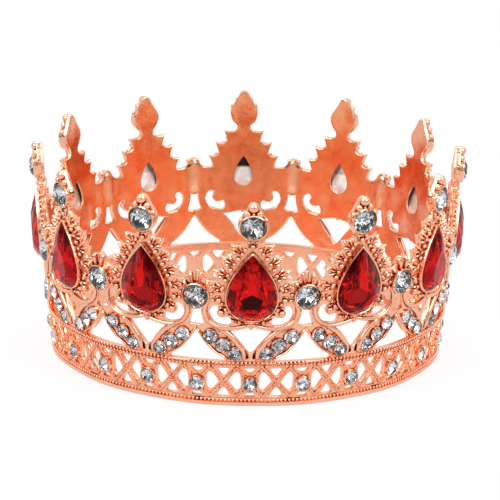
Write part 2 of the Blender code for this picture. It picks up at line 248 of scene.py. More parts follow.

# Round stones of a unit: places, name of the radius, heights, and the darkest painted shade of the foil's facets
# near the foot and the girdle, with a dimmer one near the girdle
ROUND_STONES = {
    "finial_stones": ([(0, FINIAL_HEIGHT)], "large_round", (2.45, 2.0, 1.2, 0.1, -0.95), 0.03, 0.35),
    "valley_stones": ([(PITCH / 2, VALLEY_HEIGHT)], "large_round", (2.35, 1.95, 1.15, 0.1, -0.95), 0.05, 0.35),
    "leaf_stones": (
        [(side * u, z) for side in (-1, 1) for u, z in LEAF_STONES],
        "small_round",
        (1.45, 1.15, 0.72, -0.2, -0.95),
        0.12,
        0.5,
    ),
    "band_stones": (
        [(0, BAND_STONE_HEIGHT), (PITCH / 2, BAND_STONE_HEIGHT)],
        "small_round",
        (1.45, 1.15, 0.75, -0.1, -0.7),
        0.1,
        1.0,
    ),
}

# Colours of the painted reflection on the metal's brighter inner side, of the painted highlight on its fold, and
# of its warm patches
VIVID_INSIDE_REFLECTION = (1.0, 0.445, 0.215)
PAINTED_FOLD_HIGHLIGHT = (1.0, 0.82, 0.62)
WARM_PATCHES = (0.94, 0.74, 0.6)
FOIL_STEP = (0.0359, 0.0365)  # heights between which the foil's back changes to its painted shade

# The softboxes: name, place, size and share of the power
SOFTBOXES = (
    ("softbox_left", (-0.62, -0.55, 0.75), (0.5, 0.7), 1.0),
    ("softbox_right", (0.62, -0.55, 0.75), (0.5, 0.7), 1.0),
    ("softbox_top", (0.0, 0.35, 0.95), (0.9, 0.5), 0.9),
)
LAMP_AIM = (0, 0, 0.03)

# Brightness of the tent that the metal and the stones mirror, from straight down at 0 to straight up at 1
TENT_LEVELS = (
    (0.0, 0.5), (0.10, 0.45), (0.15, 0.04), (0.25, 0.03), (0.33, 0.4), (0.45, 0.42), (0.50, 0.14),
    (0.56, 0.14), (0.61, 0.45), (0.65, 1.0), (0.72, 1.0), (0.77, 0.45), (0.85, 0.42), (1.0, 0.15),
)
TENT_BACK = (0.46, 0.46, 0.46, 1)
WHITE = (1, 1, 1, 1)

# The camera: what it looks at, and how it is raised, turned and rolled, in degrees
CAMERA_AIM = (0.00087, 0, 0.02771)
CAMERA_RAISED = 17.0
CAMERA_TURN = -1.61
CAMERA_ROLL = 1.13


class CrownMetal(bpy.types.PropertyGroup):
    """The plated metal."""

    colour: bpy.props.FloatVectorProperty(
        name="Plating",
        description="Colour of the polished plating",
        default=(0.98, 0.545, 0.375),
        subtype="COLOR",
    )
    # Painted reflection: the plating inside the crown is a deeper orange, standing for the crown's walls
    # mirrored in one another.
    inside: bpy.props.FloatVectorProperty(
        name="Inside",
        description="Colour of the plating inside the crown",
        default=(0.97, 0.49, 0.31),
        subtype="COLOR",
    )
    # Painted shade: the darkest colour, put on the plating deep in its recesses.
    shade: bpy.props.FloatVectorProperty(
        name="Shade",
        description="Colour of the plating in the deepest recesses",
        default=(0.08, 0.014, 0.006),
        subtype="COLOR",
    )
    # Painted reflection: a saturated orange put in the band's shallow recesses, for the plating mirrored in
    # itself.
    painted_band_recess_reflection: bpy.props.FloatVectorProperty(
        name="Glow",
        description="Colour of the plating in the shallow recesses of the band",
        default=(0.92, 0.24, 0.07),
        subtype="COLOR",
    )
    # Painted shade: a darker brown put in the crests' shallow recesses.
    painted_crest_recess_shade: bpy.props.FloatVectorProperty(
        name="Crevice",
        description="Colour of the plating in the shallow recesses of the crests",
        default=(0.6, 0.15, 0.055),
        subtype="COLOR",
    )
    roughness: bpy.props.FloatProperty(
        name="Roughness", description="Roughness of the polished metal", default=0.13, subtype="FACTOR"
    )
    grain: bpy.props.FloatProperty(
        name="Grain", description="Size of the casting's grain", default=0.0007, unit="LENGTH"
    )


class CrownBand(bpy.types.PropertyGroup):
    """The pierced band."""

    bead: bpy.props.FloatProperty(
        name="Bead", description="Radius of the beads on the rails", default=0.0005, unit="LENGTH"
    )
    bead_spacing: bpy.props.FloatProperty(
        name="Bead spacing",
        description="Distance between the beads on the rails",
        default=0.00113,
        unit="LENGTH",
    )
    grain: bpy.props.FloatProperty(
        name="Grain", description="Radius of the grains on the lattice", default=0.00036, unit="LENGTH"
    )


class CrownStones(bpy.types.PropertyGroup):
    """The cut stones."""

    pear_width: bpy.props.FloatProperty(
        name="Pear width", description="Width of the pear stones", default=0.0134, unit="LENGTH"
    )
    pear_length: bpy.props.FloatProperty(
        name="Pear length", description="Length of the pear stones", default=0.0193, unit="LENGTH"
    )
    large_round: bpy.props.FloatProperty(
        name="Large round",
        description="Radius of the finial and valley stones",
        default=0.0033,
        unit="LENGTH",
    )
    small_round: bpy.props.FloatProperty(
        name="Small round", description="Radius of the leaf and band stones", default=0.00198, unit="LENGTH"
    )
    red: bpy.props.FloatVectorProperty(
        name="Red",
        description="Colour of the pear stones' glass",
        default=(0.92, 0.009, 0.007),
        subtype="COLOR",
    )
    foil: bpy.props.FloatVectorProperty(
        name="Foil",
        description="Colour of the foil behind the stones",
        default=(0.97, 0.96, 0.97),
        subtype="COLOR",
    )


class CrownStage(bpy.types.PropertyGroup):
    """The floor, the lamps and the camera."""

    floor: bpy.props.FloatVectorProperty(
        name="Floor", description="Colour of the floor", default=(0.93, 0.93, 0.93), subtype="COLOR"
    )
    key: bpy.props.FloatProperty(
        name="Softboxes",
        description="Power of each softbox",
        default=5.0,
        unit="POWER",
    )
    lens: bpy.props.FloatProperty(
        name="Lens", description="Focal length of the camera", default=263.3, unit="CAMERA"
    )
    distance: bpy.props.FloatProperty(
        name="Distance", description="Distance from the camera to the crown", default=1.0429, unit="LENGTH"
    )


def wall_radius(height):
    return BASE_RADIUS + FLARE * height


def bulge(u):
    """How far the wall stands out beyond its cone: nothing behind a pear stone, most at a valley stone."""
    return 0.35 * math.sin(math.pi * u / PITCH) ** 2


def rolled_place(u, z, t):
    """The place in the crown, in metres, of a point on the flat strip, in millimetres."""
    angle = u / STRIP_RADIUS
    radius = (wall_radius(z) + bulge(u) + t) * MM
    return Vector((radius * math.sin(angle), -radius * math.cos(angle), z * MM))


def on_wall(u, z, t=0.0):
    """The frame of a stone on the wall, in metres: X along the wall, -Y out of it and Z up its slope."""
    lean = Matrix.Rotation(math.atan(FLARE), 4, "X")
    turn = Matrix.Rotation(u / STRIP_RADIUS, 4, "Z")
    radius = wall_radius(z) + bulge(u)
    return turn @ Matrix.Translation((0, -radius * MM, z * MM)) @ lean @ Matrix.Translation((0, -t * MM, 0))


def smooth_line(points, steps, closed=False):
    """A curve through the points, with a number of steps between each two."""
    count = len(points)
    line = []
    for i in range(count if closed else count - 1):
        places = [(i + k) % count if closed else min(max(i + k, 0), count - 1) for k in (-1, 0, 1, 2)]
        near = [points[k] for k in places]
        for step in range(steps):
            f = step / steps
            weights = (
                -0.5 * f**3 + f**2 - 0.5 * f,
                1.5 * f**3 - 2.5 * f**2 + 1,
                -1.5 * f**3 + 2 * f**2 + 0.5 * f,
                0.5 * f**3 - 0.5 * f**2,
            )
            line.append(tuple(sum(w * p[axis] for w, p in zip(weights, near)) for axis in (0, 1)))
    return line if closed else line + [tuple(points[-1])]


def mirrored(half):
    """A closed outline from its right half, which starts and ends on the middle line."""
    return list(half) + [(-u, z) for u, z in reversed(half[1:-1])]


def left_of(outline):
    return [(-u, z) for u, z in reversed(outline)]


def moved(outline, u, z):
    return [(u + a, z + b) for a, b in outline]


def circle(radius, points):
    turn = 2 * math.pi / points
    return [(radius * math.sin(turn * i), radius * math.cos(turn * i)) for i in range(points)]


def teardrop(width, length, points):
    """A pear outline about its middle, point upwards."""
    outline = []
    for i in range(points):
        angle = 2 * math.pi * i / points
        half = abs(math.sin(angle / 2))
        outline.append((width / 2 / TEARDROP_WIDEST * math.sin(angle) * half, length / 2 * math.cos(angle)))
    return outline


def link(name, data):
    item = bpy.data.objects.new(name, data)
    bpy.context.scene.collection.objects.link(item)
    return item


def plain_mesh(item):
    """The object's evaluated shape as a mesh in place; the object is removed."""
    bpy.context.view_layer.update()
    graph = bpy.context.evaluated_depsgraph_get()
    mesh = bpy.data.meshes.new_from_object(item.evaluated_get(graph))
    mesh.transform(item.matrix_world)
    bpy.data.objects.remove(item)
    return mesh


@contextlib.contextmanager
def edited(mesh):
    """The mesh opened for editing, and written back afterwards."""
    work = bmesh.new()
    work.from_mesh(mesh)
    yield work
    work.to_mesh(mesh)
    work.free()


def mark(mesh, name, kind, domain, values):
    mesh.attributes.new(name, kind, domain).data.foreach_set("value", values)


class Strip:
    """Metal on the flat strip: points (u, z, t) in millimetres, and faces."""

    def __init__(self):
        self.points = []
        self.faces = []

    def add(self, points, faces):
        first = len(self.points)
        self.points += points
        self.faces += [tuple(first + i for i in face) for face in faces]

    def add_mesh(self, mesh):
        """Takes over a flat mesh in metres, with -Y out of the wall."""
        points = [(v.co.x / MM, v.co.z / MM, -v.co.y / MM) for v in mesh.vertices]
        self.add(points, [tuple(p.vertices) for p in mesh.polygons])
        bpy.data.meshes.remove(mesh)

    def add_swept(self, line, section, closed=False, ends=0.0):
        """A section of (sideways, t) points carried along a line.  Open ends taper over a share of the line."""
        count, sides = len(line), len(section)
        low = min(t for _, t in section)
        points = []
        for i, (u, z) in enumerate(line):
            before = line[i - 1] if closed or i else line[0]
            after = line[(i + 1) % count] if closed else line[min(i + 1, count - 1)]
            along = Vector((after[0] - before[0], after[1] - before[1])).normalized()
            share = i / (count - 1)
            size = 1.0
            if ends and not closed:
                size = math.sqrt(min(1.0, min(share, 1 - share) / ends + 0.06))
            for s, t in section:
                points.append((u + along.y * s * size, z - along.x * s * size, low + (t - low) * size))
        faces = []
        for i in range(count if closed else count - 1):
            here, there = i * sides, (i + 1) % count * sides
            for k in range(sides):
                j = (k + 1) % sides
                faces.append((here + k, here + j, there + j, there + k))
        if not closed:
            faces.append(tuple(range(sides)))
            faces.append(tuple(range((count - 1) * sides, count * sides)))
        self.add(points, faces)

    def rolled_mesh(self, name, material):
        """The strip rolled into the wall, with its recesses, inner side and fold marked for the metal's painted
        shade, reflection and highlight.
        """
        mesh = bpy.data.meshes.new(name)
        mesh.from_pydata([rolled_place(*point) for point in self.points], [], self.faces)
        # The fold's mark, for its painted highlight and rougher polish, and the inner side's mark, for its
        # painted reflection.
        fold = [min(1.0, max(0.0, FOLD_EDGE * (WALL_BACK - 0.03 - t))) for _, _, t in self.points]
        inside = [1.0 - f if t < WALL_BACK + 0.06 else 0.0 for f, (_, _, t) in zip(fold, self.points)]
        mark(mesh, "inside", "FLOAT", "POINT", inside)
        mark(mesh, "satin", "FLOAT", "POINT", fold)
        with edited(mesh) as work:
            bmesh.ops.remove_doubles(work, verts=work.verts, dist=MERGE)
            face_outwards(work)
        mesh.materials.append(material)
        mesh.shade_smooth()
        mesh.set_sharp_from_angle(angle=math.radians(SHARP_EDGE))
        mark_openness(mesh)
        return mesh


def face_outwards(work):
    """Turns the faces of every closed shell outwards, by the sign of the shell's volume."""
    bmesh.ops.recalc_face_normals(work, faces=work.faces)
    seen = set()
    for start in work.faces:
        if start in seen:
            continue
        seen.add(start)
        shell = [start]
        for face in shell:
            for edge in face.edges:
                for other in edge.link_faces:
                    if other not in seen:
                        seen.add(other)
                        shell.append(other)
        volume = 0.0
        for face in shell:
            corners = [vertex.co for vertex in face.verts]
            for i in range(1, len(corners) - 1):
                volume += corners[0].dot(corners[i].cross(corners[i + 1]))
        if volume < 0:
            bmesh.ops.reverse_faces(work, faces=shell)


def mark_openness(mesh):
    """Marks every point with how open the space in front of it is, from 0 deep in a recess to 1."""
    shape = BVHTree.FromPolygons([v.co for v in mesh.vertices], [tuple(p.vertices) for p in mesh.polygons])
    ways = []
    for i in range(LOOKS_OUT):
        share = (i + 0.5) / LOOKS_OUT
        angle = GOLDEN_ANGLE * i
        flat = math.sqrt(share)
        ways.append((flat * math.cos(angle), flat * math.sin(angle), math.sqrt(1 - share)))
    values = []
    inside = mesh.attributes["inside"].data
    for vertex in mesh.vertices:
        if inside[vertex.index].value == 1.0:
            values.append(1.0)
            continue
        out = vertex.normal
        side = out.orthogonal().normalized()
        up = out.cross(side)
        start = vertex.co + out * 0.00004
        hits = [shape.ray_cast(start, side * a + up * b + out * c, RECESS_REACH)[0] for a, b, c in ways]
        values.append(hits.count(None) / LOOKS_OUT)
    mark(mesh, "openness", "FLOAT", "POINT", values)


def half_round(width, low, high, sides=6):
    """The section of a rounded rib, standing from low to high."""
    arch = []
    for i in range(sides + 1):
        angle = math.pi * i / sides
        arch.append((-width / 2 * math.cos(angle), low + (high - low) * (0.35 + 0.65 * math.sin(angle))))
    return [(-width / 2, low), *arch, (width / 2, low)]


def flat_plate(name, outlines, low, high, rounding, grid):
    """A flat plate in metres from outlines in millimetres, its edges rounded, cut on a grid for rolling."""
    curve = bpy.data.curves.new(name, "CURVE")
    curve.dimensions = "2D"
    curve.fill_mode = "BOTH"
    curve.extrude = ((high - low) / 2 - rounding) * MM
    curve.bevel_depth = rounding * MM
    curve.bevel_resolution = 1
    curve.offset = -rounding * MM
    for outline in outlines:
        spline = curve.splines.new("POLY")
        spline.points.add(len(outline) - 1)
        for point, (u, z) in zip(spline.points, outline):
            point.co = (u * MM, z * MM, 0, 1)
        spline.use_cyclic_u = True
    item = link(name, curve)
    middle = Matrix.Translation((0, -(low + high) / 2 * MM, 0))
    item.matrix_world = middle @ Matrix.Rotation(math.pi / 2, 4, "X")
    mesh = plain_mesh(item)
    places = [point for outline in outlines for point in outline]
    with edited(mesh) as work:
        bmesh.ops.remove_doubles(work, verts=work.verts, dist=MERGE)
        for axis, step, normal in zip((0, 1), grid, ((1, 0, 0), (0, 0, 1))):
            lowest = math.ceil(min(p[axis] for p in places) / step)
            highest = math.floor(max(p[axis] for p in places) / step)
            for k in range(lowest, highest + 1):
                everything = work.verts[:] + work.edges[:] + work.faces[:]
                cut = [k * step * MM * n for n in normal]
                bmesh.ops.bisect_plane(work, geom=everything, dist=1e-7, plane_co=cut, plane_no=normal)
    return mesh


def set_inputs(node, values):
    """Gives the node's inputs their values, by name or number; another node's output is linked."""
    for name, value in values.items():
        if isinstance(value, bpy.types.NodeSocket):
            node.id_data.links.new(value, node.inputs[name])
        else:
            node.inputs[name].default_value = value
    return node


def add_node(tree, kind, values=None, **settings):
    """A node of the kind, with its settings and what its inputs take."""
    node = tree.nodes.new(kind)
    for name, value in settings.items():
        setattr(node, name, value)
    return set_inputs(node, values or {})


def calculated(tree, operation, *values, **settings):
    """The result of one step of arithmetic."""
    node = add_node(tree, "ShaderNodeMath", dict(enumerate(values)), operation=operation, **settings)
    return node.outputs["Value"]


def new_tree(name, inputs):
    """A geometry tree with a geometry input and the named inputs; returns it with what it is given."""
    tree = bpy.data.node_groups.new(name, "GeometryNodeTree")
    for title, kind in {"Geometry": "Geometry", **inputs}.items():
        tree.interface.new_socket(name=title, in_out="INPUT", socket_type=f"NodeSocket{kind}")
    tree.interface.new_socket(name="Geometry", in_out="OUTPUT", socket_type="NodeSocketGeometry")
    return tree, tree.nodes.new("NodeGroupInput").outputs


def finish_tree(tree, copies, paints):
    """Ends a tree: the copies are made real, and each paint goes all over or on its selection."""
    real = add_node(tree, "GeometryNodeRealizeInstances", {"Geometry": copies.outputs["Instances"]})
    shape = real.outputs["Geometry"]
    for paint in paints:
        shape = add_node(tree, "GeometryNodeSetMaterial", {"Geometry": shape, **paint}).outputs["Geometry"]
    add_node(tree, "NodeGroupOutput", {"Geometry": shape})
    return tree


def marked(tree, name, kind):
    """What the geometry's attribute of that name says."""
    node = add_node(tree, "GeometryNodeInputNamedAttribute", {"Name": name}, data_type=kind)
    return node.outputs["Attribute"]


def copies_on(tree, points, instance, **values):
    values = {"Points": points, "Instance": instance, **values}
    return add_node(tree, "GeometryNodeInstanceOnPoints", values)


def row_tree():
    """Copies of a bead at equal distances along a line, each a little different in size."""
    inputs = {"Bead": "Object", "Spacing": "Float", "Least Size": "Float", "Seed": "Int"}
    tree, given = new_tree("bead_row", {**inputs, "Material": "Material"})
    line = add_node(tree, "GeometryNodeMeshToCurve", {"Mesh": given["Geometry"]})
    values = {"Curve": line.outputs["Curve"], "Length": given["Spacing"]}
    spread = add_node(tree, "GeometryNodeResampleCurve", values, mode="LENGTH")
    bead = add_node(tree, "GeometryNodeObjectInfo", {"Object": given["Bead"]})
    size = add_node(tree, "FunctionNodeRandomValue", {2: given["Least Size"], 3: 1.0, "Seed": given["Seed"]})
    copies = copies_on(tree, spread.outputs["Curve"], bead.outputs["Geometry"], Scale=size.outputs[1])
    return finish_tree(tree, copies, [{"Material": given["Material"]}])


def marks_tree():
    """Copies of a shape on marked points, each turned in the strip's plane and sized by the mark."""
    tree, given = new_tree("shapes_on_marks", {"Shape": "Object", "Material": "Material"})
    shape = add_node(tree, "GeometryNodeObjectInfo", {"Object": given["Shape"]})
    turn = marked(tree, "turn", "FLOAT_VECTOR")
    size = marked(tree, "size", "FLOAT_VECTOR")
    copies = copies_on(tree, given["Geometry"], shape.outputs["Geometry"], Rotation=turn, Scale=size)
    return finish_tree(tree, copies, [{"Material": given["Material"]}])


def repeat_tree():
    """Copies of a cell, one after another along the strip."""
    tree, given = new_tree("cells_along_strip", {"Count": "Int", "Step": "Vector", "Material": "Material"})
    line = add_node(tree, "GeometryNodeMeshLine", {"Count": given["Count"], "Offset": given["Step"]})
    copies = copies_on(tree, line.outputs["Mesh"], given["Geometry"])
    return finish_tree(tree, copies, [{"Material": given["Material"]}])


def ring_tree():
    """Copies of a unit around the crown's axis; the faces marked foil take the foil, the others the glass."""
    inputs = {"Count": "Int", "Turn": "Float", "Glass": "Material", "Foil": "Material"}
    tree, given = new_tree("units_around_axis", inputs)
    line = add_node(tree, "GeometryNodeMeshLine", {"Count": given["Count"], "Offset": (0, 0, 0)})
    index = add_node(tree, "GeometryNodeInputIndex").outputs["Index"]
    about = add_node(tree, "ShaderNodeCombineXYZ", {"Z": calculated(tree, "MULTIPLY", index, given["Turn"])})
    copies = copies_on(tree, line.outputs["Mesh"], given["Geometry"], Rotation=about.outputs["Vector"])
    glass = {"Material": given["Glass"]}
    foil = {"Material": given["Foil"], "Selection": marked(tree, "foil", "BOOLEAN")}
    return finish_tree(tree, copies, [glass, foil])


def grown(host, tree, values):
    """The plain mesh that a geometry tree makes from the host object."""
    modifier = host.modifiers.new(tree.name, "NODES")
    modifier.node_group = tree
    sockets = {item.name: item for item in tree.interface.items_tree if item.in_out == "INPUT"}
    for title, value in values.items():
        modifier[sockets[title].identifier] = value
    bpy.context.view_layer.update()
    graph = bpy.context.evaluated_depsgraph_get()
    mesh = bpy.data.meshes.new_from_object(host.evaluated_get(graph))
    bpy.data.objects.remove(host)
    return mesh


def tree_named(name, make):
    return bpy.data.node_groups.get(name) or make()


def flat_places(points):
    """The places, in metres and not yet rolled, of points (u, z, t) on the strip."""
    return [(u * MM, -t * MM, z * MM) for u, z, t in points]


def line_host(name, line, t):
    """An object with a line of edges on the flat strip."""
    mesh = bpy.data.meshes.new(name)
    mesh.from_pydata(flat_places((u, z, t) for u, z in line), [(i, i + 1) for i in range(len(line) - 1)], [])
    return link(name, mesh)


def marks_host(name, marks):
    """An object with one point for each mark: place (u, z, t), turn in the strip's plane, and size."""
    mesh = bpy.data.meshes.new(name)
    mesh.from_pydata(flat_places(place for place, _, _ in marks), [], [])
    turns = mesh.attributes.new("turn", "FLOAT_VECTOR", "POINT")
    sizes = mesh.attributes.new("size", "FLOAT_VECTOR", "POINT")
    for i, (_, turn, size) in enumerate(marks):
        turns.data[i].vector = (0, turn, 0)
        sizes.data[i].vector = size
    return link(name, mesh)


def bead_shape(name, detail, radius=1.0):
    """A ball of the radius, in metres."""
    mesh = bpy.data.meshes.new(name)
    with edited(mesh) as work:
        bmesh.ops.create_icosphere(work, subdivisions=detail, radius=1.0)
    mesh.transform(Matrix.Scale(radius, 4))
    mesh.shade_smooth()
    return link(name, mesh)


def rib_shape(name):
    """A finger shaped rib, one metre long up Z from its narrow foot, one wide and one high towards -Y."""
    mesh = bpy.data.meshes.new(name)
    rows, sides = 9, 8
    points = [(0.0, 0.35, 0.0)]
    for i in range(1, rows):
        share = 0.5 - 0.5 * math.cos(math.pi * i / rows)
        body = (1 - abs(2 * share - 1) ** 3.2) ** 0.5
        wide, tall = 0.5 * body * (0.5 + 0.5 * share), body * (0.75 + 0.25 * share)
        for k in range(sides):
            angle = 2 * math.pi * k / sides
            points.append((wide * math.cos(angle), -tall * math.sin(angle), share))
    points.append((0.0, 0.0, 1.0))
    faces = [(0, 1 + (k + 1) % sides, 1 + k) for k in range(sides)]
    for i in range(rows - 2):
        for k in range(sides):
            j = (k + 1) % sides
            here, there = 1 + i * sides, 1 + (i + 1) * sides
            faces.append((here + k, here + j, there + j, there + k))
    top = len(points) - 1
    faces += [(top, top - sides + k, top - sides + (k + 1) % sides) for k in range(sides)]
    mesh.from_pydata(points, [], faces)
    mesh.shade_smooth()
    return link(name, mesh)


def bead_mark(place, t, radius):
    return ((place[0], place[1], t), 0.0, (radius * MM, radius * MM, radius * MM))


def rib_mark(foot, tip, width, low=0.0, high=0.95):
    """A rib from its foot to its tip on the strip."""
    along = Vector(tip) - Vector(foot)
    turn = math.atan2(along.x, along.y)
    return ((foot[0], foot[1], low), turn, (width * MM, (high - low) * MM, along.length * MM))


def both_sides(marks):
    return list(marks) + [((-place[0], place[1], place[2]), -turn, size) for place, turn, size in marks]


def cup_section(rim, wall, depth=-0.9):
    """The section of a stone's cup about its inner edge: sideways into it, and t."""
    return [
        (0.0, depth),
        (0.0, rim * 0.6),
        (-0.06, rim),
        (-wall * 0.3, rim * 1.08),
        (-wall * 0.8, rim * 0.95),
        (-wall, rim * 0.55),
        (-wall * 1.12, depth),
    ]


def with_pockets(mesh, pockets):
    """The flat plate with pockets (outline, bottom) sunk into its face, for the stones to stand in."""
    plate = link("plate", mesh)
    drill_mesh = bpy.data.meshes.new("drill")
    with edited(drill_mesh) as work:
        for outline, bottom in pockets:
            ends = []
            for t in (bottom, DRILL_TOP):
                ends.append([work.verts.new(place) for place in flat_places((u, z, t) for u, z in outline)])
            for i in range(len(outline)):
                work.faces.new((ends[0][i - 1], ends[0][i], ends[1][i], ends[1][i - 1]))
            for end in ends:
                work.faces.new(end)
        face_outwards(work)
    drill = link("drill", drill_mesh)
    cut = plate.modifiers.new("cut", "BOOLEAN")
    cut.operation = "DIFFERENCE"
    cut.solver = "EXACT"
    cut.object = drill
    drilled = plain_mesh(plate)
    bpy.data.objects.remove(drill)
    return drilled


def tooth_marks(root, tip):
    """One tooth of the serration: three fingers that spread from its root, and the ball at the root."""
    root, tip = Vector(root), Vector(tip)
    marks = []
    for turn, reach, width, high in TOOTH_FINGERS:
        way = Matrix.Rotation(turn, 2) @ (tip - root)
        start = root + way.normalized() * 0.35
        marks.append(rib_mark(start, root + way * reach, width, -0.1, high))
    return marks, bead_mark(root, *TOOTH_BALL)


def crest_strip(metal):
    """One crest, flat: its plate, settings, scrolls and leaves, and the ornament between them."""
    strip = Strip()
    finial, valley = (0, FINIAL_HEIGHT), (PITCH / 2, VALLEY_HEIGHT)
    seat = moved(teardrop(*PEAR_SEAT, 28), 0, PEAR_HEIGHT - 1.5)
    outlines = [mirrored(PLATE_OUTLINE), mirrored(SHIELD_OUTLINE)]
    outlines += [SCROLL_OPENING, left_of(SCROLL_OPENING), seat]
    plate = flat_plate("plate", outlines, WALL_BACK, PLATE_FACE, 0.22, CREST_GRID)
    pockets = [(moved(circle(LARGE_SEAT, 24), *finial), STONE_POCKET)]
    for side in (-1, 1):
        pockets.append((moved(circle(LARGE_SEAT, 24), side * valley[0], valley[1]), STONE_POCKET))
        pockets += [(moved(circle(SMALL_SEAT, 18), side * u, z), STONE_POCKET) for u, z in LEAF_STONES]
        pockets.append(([(side * u, z) for u, z in FOOT_HOLLOW], HOLLOW_BOTTOM))
    strip.add_mesh(with_pockets(plate, pockets))
    ledge = moved(teardrop(*PEAR_LEDGE, 28), 0, PEAR_HEIGHT - 1.5)
    window = moved(teardrop(*PEAR_WINDOW, 20), 0, PEAR_HEIGHT + 0.1)
    strip.add_mesh(flat_plate("window", [ledge, window], WALL_BACK - 0.012, -0.95, 0.0, CREST_GRID))

    strip.add_swept(moved(teardrop(*PEAR_SETTING, 72), 0, PEAR_HEIGHT), BEZEL, True)
    for place in (finial, valley):
        strip.add_swept(moved(circle(LARGE_SETTING, 40), *place), cup_section(*LARGE_CUP), True)
    for side in (-1, 1):
        for u, z in LEAF_STONES:
            strip.add_swept(moved(circle(SMALL_SETTING, 22), side * u, z), cup_section(*LEAF_CUP), True)
        for line, width, height, ends in CREST_WIRES:
            drawn = smooth_line([(side * u, z) for u, z in line], 5)
            strip.add_swept(drawn, half_round(width, -0.3, height), False, ends)
    strip.add(*valley_fold(*FOLD_HEIGHTS))

    ribs = [rib_mark(*rib) for rib in CREST_RIBS]
    beads = [bead_mark(*bead) for bead in CREST_BEADS]
    for root, tip in TEETH:
        fingers, ball = tooth_marks(root, tip)
        ribs += fingers
        beads.append(ball)
    fan_ribs = []
    for angle, reach in FAN_RIBS:
        way = Vector((math.sin(math.radians(angle)), math.cos(math.radians(angle))))
        foot, tip = (Vector(valley) + way * distance for distance in (LARGE_SETTING, reach))
        fan_ribs.append(rib_mark(foot, tip, *FAN_RIB_SIZE))
    rib_marks = both_sides(ribs) + fan_ribs
    bead_marks = both_sides(beads) + [bead_mark(*bead) for bead in MIDDLE_BEADS]
    for shape, marks in ((rib_shape("rib"), rib_marks), (bead_shape("bead", 2), bead_marks)):
        values = {"Shape": shape, "Material": metal}
        strip.add_mesh(grown(marks_host("marks", marks), tree_named("shapes_on_marks", marks_tree), values))
        bpy.data.objects.remove(shape)
    return strip


def valley_fold(low, high):
    """The soft fold that runs down the inside of a valley: points and faces of a closed shape on the strip."""
    across, rows = 12, 36
    points = []
    for i in range(rows + 1):
        z = low + (high - low) * i / rows
        edge = min(1.0, 2.2 * i / rows, 8.0 * (rows - i) / rows)
        swell = FOLD_SWELL * math.sin(0.5 * math.pi * edge)
        half = min(2.9, 0.5 + 0.95 * (high - z))
        for k in range(across + 1):
            side = 2.0 * k / across - 1.0
            rise = swell * max(0.0, math.cos(0.5 * math.pi * side)) ** 1.6
            points.append((PITCH / 2 + half * side, z, WALL_BACK + 0.04 - rise))
    faces = []
    for i in range(rows):
        for k in range(across):
            here = i * (across + 1) + k
            faces.append((here, here + 1, here + across + 2, here + across + 1))
    rim = list(range(across + 1))
    rim += [i * (across + 1) + across for i in range(1, rows + 1)]
    rim += [rows * (across + 1) + k for k in range(across - 1, -1, -1)]
    rim += [i * (across + 1) for i in range(rows - 1, 0, -1)]
    first = len(points)
    points += [(points[i][0], points[i][1], WALL_BACK + 0.3) for i in rim]
    count = len(rim)
    faces += [(rim[i], first + i, first + (i + 1) % count, rim[(i + 1) % count]) for i in range(count)]
    faces.append(tuple(first + i for i in range(count)))
    return points, faces


def stone_seat():
    """The setting of one band stone, flat, about the stone's middle: a cup on a round seat."""
    seat = Strip()
    seat.add_swept(circle(SMALL_SETTING, 26), cup_section(*BAND_CUP), True)
    seat.add_mesh(flat_plate("seat", [circle(BAND_SEAT, 20)], -1.3, -0.75, 0.1, BAND_GRID))
    return seat


def band_plate(low, high):
    """The pierced plate of the lattice between two places along the wall, with pockets for its stones."""
    holes = []
    for k in range(QUARTER_STONES):
        stone = low + (2 * k + 1) * CELL
        for outline in (KITE_HOLE, [(-u, z) for u, z in KITE_HOLE], OVER_STONE_HOLE, UNDER_STONE_HOLE):
            holes.append(moved(smooth_line(outline, 2, True), stone, 0))
        if k < QUARTER_STONES - 1:
            for outline in (OVER_CROSSING_HOLE, UNDER_CROSSING_HOLE):
                holes.append(moved(smooth_line(outline, 2, True), stone + CELL, 0))
    outline = [(low + u, z) for u, z in LATTICE_END] + [(high - u, z) for u, z in reversed(LATTICE_END)]
    lattice = flat_plate("lattice", [outline, *holes], -1.45, -0.02, 0.2, BAND_GRID)
    pockets = []
    for k in range(QUARTER_STONES):
        seat = moved(circle(SMALL_SEAT, 18), low + (2 * k + 1) * CELL, BAND_STONE_HEIGHT)
        pockets.append((seat, BAND_POCKET))
    return with_pockets(lattice, pockets)


def lattice_bars(low):
    """The middle lines of the lattice's bars, each from a crossing up or down and to the next one."""
    bars = []
    for k in range(2 * QUARTER_STONES):
        left, right = low + k * CELL, low + (k + 1) * CELL
        stone = Vector((left if k % 2 else right, BAND_STONE_HEIGHT))
        for rise in (-BAR_RISE, BAR_RISE):
            start = Vector((left if k % 2 else left - BAR_OVERLAP, LATTICE_HEIGHT))
            middle = Vector(((left + right) / 2, LATTICE_HEIGHT + rise))
            end = Vector((right + BAR_OVERLAP if k % 2 else right, LATTICE_HEIGHT))
            bar = [start.lerp(middle, i / 10) for i in range(10)]
            bar += [middle.lerp(end, i / 10) for i in range(11)]
            bars.append((k, [(point.x, point.y) for point in bar if (point - stone).length > BAND_SEAT]))
    return bars


